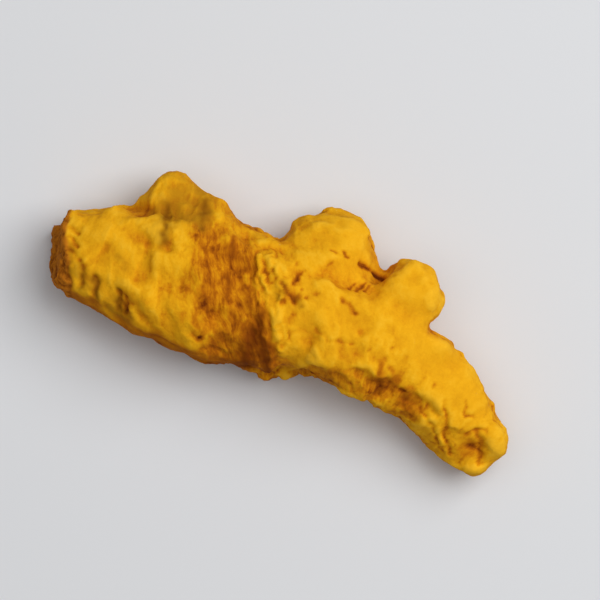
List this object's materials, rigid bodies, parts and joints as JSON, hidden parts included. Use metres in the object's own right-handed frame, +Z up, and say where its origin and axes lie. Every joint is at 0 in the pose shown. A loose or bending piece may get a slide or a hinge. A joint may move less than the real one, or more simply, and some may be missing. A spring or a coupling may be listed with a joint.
{
  "type": "turmeric root",
  "caption": "Dried turmeric root: a knobbly rhizome, broken off at its thick end, that narrows to a blunt finger, with a swollen shoulder, a round knob and a short bud along its side.",
  "frame": {"origin": "middle of the root's footprint, on the surface that it lies on", "axes": "+X along the root from the broken end to the finger tip, +Y towards the side with the knob and the bud, +Z up"},
  "size_m": [0.066, 0.026, 0.0163],
  "materials": {
    "turmeric_skin": "matte, dusty"
  },
  "bodies": {
    "root": {"turmeric_rhizome": "turmeric_skin"}
  },
  "joints": []
}
